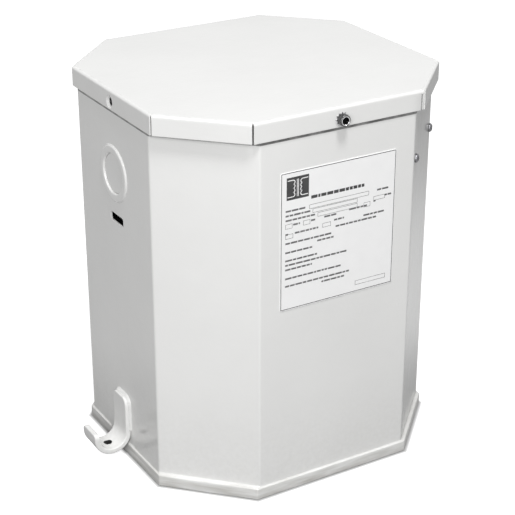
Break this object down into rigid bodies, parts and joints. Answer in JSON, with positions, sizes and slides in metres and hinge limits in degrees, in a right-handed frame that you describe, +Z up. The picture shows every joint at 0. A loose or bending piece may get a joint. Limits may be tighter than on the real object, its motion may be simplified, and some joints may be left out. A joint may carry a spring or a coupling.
{
  "type": "isolation transformer",
  "caption": "Eight-sided sheet steel housing with an overhanging screwed lid, side knockouts and slots, a hold-down hook on each side, a rimmed base pan and a data plate on the front.",
  "frame": {"origin": "middle of the base, at floor level", "axes": "+Z up, -Y out of the front wall with the data plate, +X to the right of someone facing that wall"},
  "size_m": [0.433, 0.344, 0.427],
  "materials": {
    "white_paint": "gloss white powder coat",
    "zinc_steel": "bright zinc plate",
    "black_steel": "black oxide",
    "data_label": "satin",
    "cast_resin": "matt"
  },
  "bodies": {
    "root": {"lid": "white_paint", "housing_wrap": "white_paint", "knockout_ring_left": "white_paint", "knockout_ring_right": "white_paint", "knockout_disc_left": "white_paint", "knockout_disc_right": "white_paint", "hook_left": "white_paint", "hook_right": "white_paint", "base_pan": "white_paint", "base_seal_weld": "white_paint", "lid_washer_front": "zinc_steel", "lid_washer_back": "zinc_steel", "threaded_plate_front": "zinc_steel", "threaded_plate_back": "zinc_steel", "threaded_plate_left": "zinc_steel", "threaded_plate_right": "zinc_steel", "wall_screw_front": "zinc_steel", "wall_screw_side": "zinc_steel", "lid_screw_front": "black_steel", "lid_screw_back": "black_steel", "data_plate": "data_label", "core_block": "cast_resin"}
  },
  "joints": []
}
